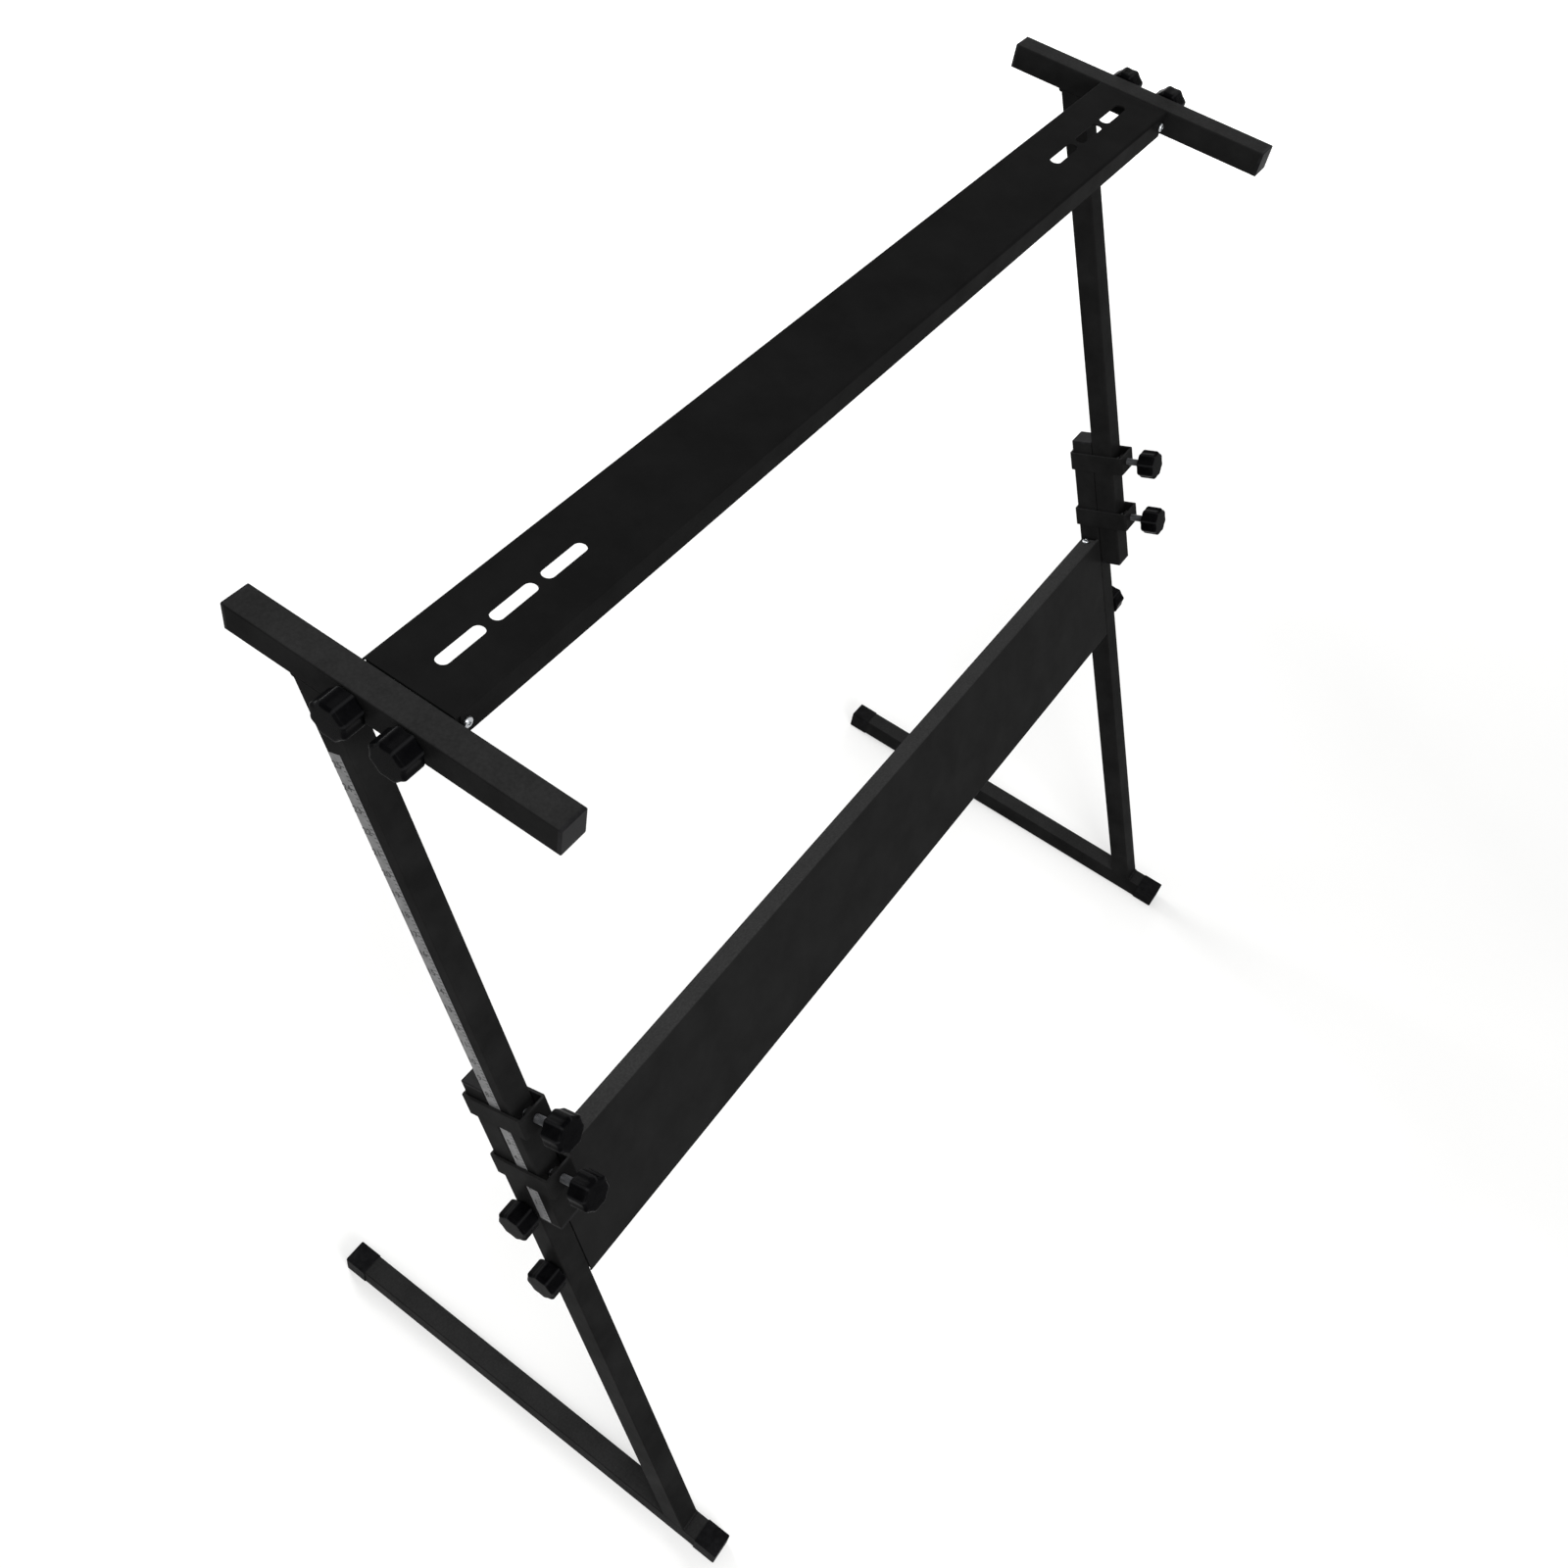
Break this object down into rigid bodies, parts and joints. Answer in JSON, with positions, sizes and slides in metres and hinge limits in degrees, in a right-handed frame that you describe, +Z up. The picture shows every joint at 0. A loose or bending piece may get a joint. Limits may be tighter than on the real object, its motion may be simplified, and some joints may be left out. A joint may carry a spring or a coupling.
{
  "type": "keyboard stand",
  "caption": "Leaning square-tube keyboard stand with flat arms, a slotted top board, a stretcher panel, sliding clamped legs, long feet and fluted knobs.",
  "frame": {"origin": "on the floor, in the middle of the stand's width and depth", "axes": "+X along the board from the left side to the right, +Y from the player to the back, +Z up"},
  "size_m": [1.1596, 0.5436, 1.0914],
  "materials": {
    "black_coat": "fine-textured satin black powder coat",
    "cap_plastic": "moulded black plastic, fine matt grain",
    "knob_plastic": "moulded black plastic, semi-gloss",
    "zinc_steel": "bright zinc plate",
    "scale_print": "printed grey adhesive film"
  },
  "bodies": {
    "lower_frame": {"left_foot": "black_coat", "left_front_foot_cap": "cap_plastic", "left_rear_foot_cap": "cap_plastic", "left_lower_leg": "black_coat", "left_lower_leg_plug": "cap_plastic", "left_upper_collar": "black_coat", "left_lower_collar": "black_coat", "left_panel_bracket": "black_coat", "right_foot": "black_coat", "right_front_foot_cap": "cap_plastic", "right_rear_foot_cap": "cap_plastic", "right_lower_leg": "black_coat", "right_lower_leg_plug": "cap_plastic", "right_upper_collar": "black_coat", "right_lower_collar": "black_coat", "right_panel_bracket": "black_coat", "panel": "black_coat", "panel_nuts": "zinc_steel", "panel_screws": "zinc_steel", "collar_nuts": "zinc_steel"},
    "upper_frame": {"left_arm": "black_coat", "left_arm_end_plugs": "cap_plastic", "left_upper_leg": "black_coat", "left_upper_leg_plug": "cap_plastic", "left_scale_strip": "scale_print", "left_board_bracket": "black_coat", "right_arm": "black_coat", "right_arm_end_plugs": "cap_plastic", "right_upper_leg": "black_coat", "right_upper_leg_plug": "cap_plastic", "right_scale_strip": "scale_print", "right_board_bracket": "black_coat", "top_board": "black_coat", "board_nuts": "zinc_steel", "board_screws": "zinc_steel"},
    "left_front_arm_stud": {"left_front_arm_stud": "zinc_steel"},
    "left_front_arm_grip": {"left_front_arm_grip": "knob_plastic"},
    "left_rear_arm_stud": {"left_rear_arm_stud": "zinc_steel"},
    "left_rear_arm_grip": {"left_rear_arm_grip": "knob_plastic"},
    "left_upper_panel_stud": {"left_upper_panel_stud": "zinc_steel"},
    "left_upper_panel_grip": {"left_upper_panel_grip": "knob_plastic"},
    "left_lower_panel_stud": {"left_lower_panel_stud": "zinc_steel"},
    "left_lower_panel_grip": {"left_lower_panel_grip": "knob_plastic"},
    "left_upper_clamp_stud": {"left_upper_clamp_stud": "zinc_steel"},
    "left_upper_clamp_grip": {"left_upper_clamp_grip": "knob_plastic"},
    "left_lower_clamp_stud": {"left_lower_clamp_stud": "zinc_steel"},
    "left_lower_clamp_grip": {"left_lower_clamp_grip": "knob_plastic"},
    "right_front_arm_stud": {"right_front_arm_stud": "zinc_steel"},
    "right_front_arm_grip": {"right_front_arm_grip": "knob_plastic"},
    "right_rear_arm_stud": {"right_rear_arm_stud": "zinc_steel"},
    "right_rear_arm_grip": {"right_rear_arm_grip": "knob_plastic"},
    "right_upper_panel_stud": {"right_upper_panel_stud": "zinc_steel"},
    "right_upper_panel_grip": {"right_upper_panel_grip": "knob_plastic"},
    "right_lower_panel_stud": {"right_lower_panel_stud": "zinc_steel"},
    "right_lower_panel_grip": {"right_lower_panel_grip": "knob_plastic"},
    "right_upper_clamp_stud": {"right_upper_clamp_stud": "zinc_steel"},
    "right_upper_clamp_grip": {"right_upper_clamp_grip": "knob_plastic"},
    "right_lower_clamp_stud": {"right_lower_clamp_stud": "zinc_steel"},
    "right_lower_clamp_grip": {"right_lower_clamp_grip": "knob_plastic"}
  },
  "joints": [
    {"name": "height_slide", "type": "slide", "parent": "lower_frame", "child": "upper_frame", "axis": [0, 0.3907, 0.9205], "range_m": [-0.38, 0.04]},
    {"name": "left_front_arm_travel", "type": "slide", "parent": "upper_frame", "child": "left_front_arm_stud", "axis": [-1, 0, 0], "range_m": [0, 0.0075]},
    {"name": "left_front_arm_turn", "type": "hinge", "parent": "left_front_arm_stud", "child": "left_front_arm_grip", "pos_m": [-0.5575, 0.10776, 1.0755], "axis": [-1, 0, 0], "range_deg": [0, 2161]},
    {"name": "left_rear_arm_travel", "type": "slide", "parent": "upper_frame", "child": "left_rear_arm_stud", "axis": [-1, 0, 0], "range_m": [0, 0.0075]},
    {"name": "left_rear_arm_turn", "type": "hinge", "parent": "left_rear_arm_stud", "child": "left_rear_arm_grip", "pos_m": [-0.5575, 0.15776, 1.0755], "axis": [-1, 0, 0], "range_deg": [0, 2161]},
    {"name": "left_upper_panel_travel", "type": "slide", "parent": "lower_frame", "child": "left_upper_panel_stud", "axis": [-1, 0, 0], "range_m": [0, 0.0075]},
    {"name": "left_upper_panel_turn", "type": "hinge", "parent": "left_upper_panel_stud", "child": "left_upper_panel_grip", "pos_m": [-0.5575, -0.0022, 0.52775], "axis": [-1, 0, 0], "range_deg": [0, 2161]},
    {"name": "left_lower_panel_travel", "type": "slide", "parent": "lower_frame", "child": "left_lower_panel_stud", "axis": [-1, 0, 0], "range_m": [0, 0.0075]},
    {"name": "left_lower_panel_turn", "type": "hinge", "parent": "left_lower_panel_stud", "child": "left_lower_panel_grip", "pos_m": [-0.5575, -0.0362, 0.44767], "axis": [-1, 0, 0], "range_deg": [0, 2161]},
    {"name": "left_upper_clamp_travel", "type": "slide", "parent": "lower_frame", "child": "left_upper_clamp_stud", "axis": [0, -0.9205, 0.3907], "range_m": [0, 0.0075]},
    {"name": "left_upper_clamp_turn", "type": "hinge", "parent": "left_upper_clamp_stud", "child": "left_upper_clamp_grip", "pos_m": [-0.545, 0.00317, 0.67376], "axis": [0, -0.9205, 0.3907], "range_deg": [0, 2161]},
    {"name": "left_lower_clamp_travel", "type": "slide", "parent": "lower_frame", "child": "left_lower_clamp_stud", "axis": [0, -0.9205, 0.3907], "range_m": [0, 0.0075]},
    {"name": "left_lower_clamp_turn", "type": "hinge", "parent": "left_lower_clamp_stud", "child": "left_lower_clamp_grip", "pos_m": [-0.545, -0.02691, 0.60288], "axis": [0, -0.9205, 0.3907], "range_deg": [0, 2161]},
    {"name": "right_front_arm_travel", "type": "slide", "parent": "upper_frame", "child": "right_front_arm_stud", "axis": [1, 0, 0], "range_m": [0, 0.0075]},
    {"name": "right_front_arm_turn", "type": "hinge", "parent": "right_front_arm_stud", "child": "right_front_arm_grip", "pos_m": [0.5575, 0.10776, 1.0755], "axis": [1, 0, 0], "range_deg": [0, 2161]},
    {"name": "right_rear_arm_travel", "type": "slide", "parent": "upper_frame", "child": "right_rear_arm_stud", "axis": [1, 0, 0], "range_m": [0, 0.0075]},
    {"name": "right_rear_arm_turn", "type": "hinge", "parent": "right_rear_arm_stud", "child": "right_rear_arm_grip", "pos_m": [0.5575, 0.15776, 1.0755], "axis": [1, 0, 0], "range_deg": [0, 2161]},
    {"name": "right_upper_panel_travel", "type": "slide", "parent": "lower_frame", "child": "right_upper_panel_stud", "axis": [1, 0, 0], "range_m": [0, 0.0075]},
    {"name": "right_upper_panel_turn", "type": "hinge", "parent": "right_upper_panel_stud", "child": "right_upper_panel_grip", "pos_m": [0.5575, -0.0022, 0.52775], "axis": [1, 0, 0], "range_deg": [0, 2161]},
    {"name": "right_lower_panel_travel", "type": "slide", "parent": "lower_frame", "child": "right_lower_panel_stud", "axis": [1, 0, 0], "range_m": [0, 0.0075]},
    {"name": "right_lower_panel_turn", "type": "hinge", "parent": "right_lower_panel_stud", "child": "right_lower_panel_grip", "pos_m": [0.5575, -0.0362, 0.44767], "axis": [1, 0, 0], "range_deg": [0, 2161]},
    {"name": "right_upper_clamp_travel", "type": "slide", "parent": "lower_frame", "child": "right_upper_clamp_stud", "axis": [0, -0.9205, 0.3907], "range_m": [0, 0.0075]},
    {"name": "right_upper_clamp_turn", "type": "hinge", "parent": "right_upper_clamp_stud", "child": "right_upper_clamp_grip", "pos_m": [0.545, 0.00317, 0.67376], "axis": [0, -0.9205, 0.3907], "range_deg": [0, 2161]},
    {"name": "right_lower_clamp_travel", "type": "slide", "parent": "lower_frame", "child": "right_lower_clamp_stud", "axis": [0, -0.9205, 0.3907], "range_m": [0, 0.0075]},
    {"name": "right_lower_clamp_turn", "type": "hinge", "parent": "right_lower_clamp_stud", "child": "right_lower_clamp_grip", "pos_m": [0.545, -0.02691, 0.60288], "axis": [0, -0.9205, 0.3907], "range_deg": [0, 2161]}
  ],
  "couplings": [
    {"joint": "left_front_arm_turn", "follows": "left_front_arm_travel", "rad_per_m": 5026.5},
    {"joint": "left_rear_arm_turn", "follows": "left_rear_arm_travel", "rad_per_m": 5026.5},
    {"joint": "left_upper_panel_turn", "follows": "left_upper_panel_travel", "rad_per_m": 5026.5},
    {"joint": "left_lower_panel_turn", "follows": "left_lower_panel_travel", "rad_per_m": 5026.5},
    {"joint": "left_upper_clamp_turn", "follows": "left_upper_clamp_travel", "rad_per_m": 5026.5},
    {"joint": "left_lower_clamp_turn", "follows": "left_lower_clamp_travel", "rad_per_m": 5026.5},
    {"joint": "right_front_arm_turn", "follows": "right_front_arm_travel", "rad_per_m": 5026.5},
    {"joint": "right_rear_arm_turn", "follows": "right_rear_arm_travel", "rad_per_m": 5026.5},
    {"joint": "right_upper_panel_turn", "follows": "right_upper_panel_travel", "rad_per_m": 5026.5},
    {"joint": "right_lower_panel_turn", "follows": "right_lower_panel_travel", "rad_per_m": 5026.5},
    {"joint": "right_upper_clamp_turn", "follows": "right_upper_clamp_travel", "rad_per_m": 5026.5},
    {"joint": "right_lower_clamp_turn", "follows": "right_lower_clamp_travel", "rad_per_m": 5026.5}
  ]
}
